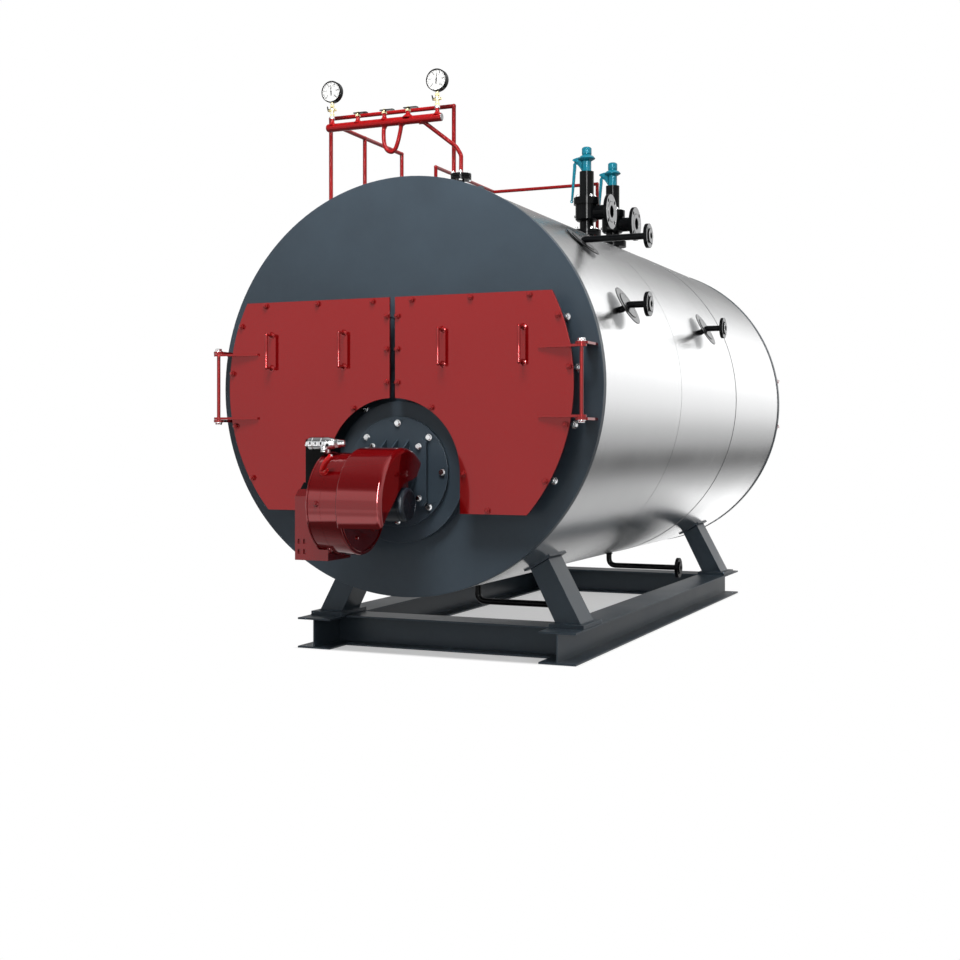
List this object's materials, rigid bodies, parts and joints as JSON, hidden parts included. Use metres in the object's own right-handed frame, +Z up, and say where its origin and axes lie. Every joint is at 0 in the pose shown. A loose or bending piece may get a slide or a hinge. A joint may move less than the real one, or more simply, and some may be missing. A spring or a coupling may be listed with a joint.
{
  "type": "industrial boiler",
  "caption": "Horizontal cylindrical steam boiler on a beam base, with two hinged smoke box doors, a blown burner, a gauge header and safety valves.",
  "frame": {"origin": "centre of the underside of the base's front cross beam, on the floor", "axes": "+X to the right of someone facing the doors from outside, +Y along the body to the rear, +Z up"},
  "size_m": [2.1718, 5.008, 2.9929],
  "materials": {
    "slate": "satin slate-grey paint",
    "cladding": "brushed stainless cladding",
    "door_red": "satin red paint",
    "burner_red": "gloss red paint",
    "pipe_red": "gloss red paint",
    "black": "black paint",
    "hot_steel": "heat-marked boiler plate",
    "lining": "cast refractory lining",
    "cap_blue": "gloss blue paint",
    "brass": "plain brass",
    "motor": "dark grey paint",
    "bare_steel": "bare machined steel",
    "disc_steel": "plain sheet steel"
  },
  "bodies": {
    "boiler": {"front_plate": "slate", "door_frames": "slate", "shell_front": "cladding", "shell_middle": "cladding", "shell_rear": "cladding", "rear_plate": "slate", "tube_plate": "hot_steel", "furnace_mouth": "hot_steel", "burner_ring": "slate", "burner_plate": "slate", "burner_casting": "slate", "fan_housing": "burner_red", "fan_hood": "burner_red", "fan_motor": "motor", "air_box": "burner_red", "control_box": "black", "gas_valve": "bare_steel", "left_hinge": "door_red", "right_hinge": "door_red", "rear_doors": "door_red", "rear_hinges": "door_red", "flue_outlet": "slate", "gauge_header": "pipe_red", "header_stand": "pipe_red", "instrument_line": "pipe_red", "sample_line": "pipe_red", "header_feed": "pipe_red", "feed_flanges": "black", "header_cocks": "brass", "gauges": "black", "safety_valves": "black", "safety_caps": "cap_blue", "steam_branch": "black", "side_branches": "black", "cover_discs": "disc_steel", "drain_pipes": "black", "lifting_lugs": "slate", "long_beams": "slate", "cross_beams": "slate", "feet": "slate", "legs": "slate", "saddles": "slate"},
    "left_door": {"left_door": "door_red", "left_lining": "lining", "left_handles": "door_red"},
    "right_door": {"right_door": "door_red", "right_lining": "lining", "right_handles": "door_red"}
  },
  "joints": [
    {"name": "left_door_hinge", "type": "hinge", "parent": "boiler", "child": "left_door", "pos_m": [-0.991, -0.748, 1.401], "axis": [0, 0, -1], "range_deg": [0, 110]},
    {"name": "right_door_hinge", "type": "hinge", "parent": "boiler", "child": "right_door", "pos_m": [0.991, -0.748, 1.401], "axis": [0, 0, 1], "range_deg": [0, 110]}
  ]
}
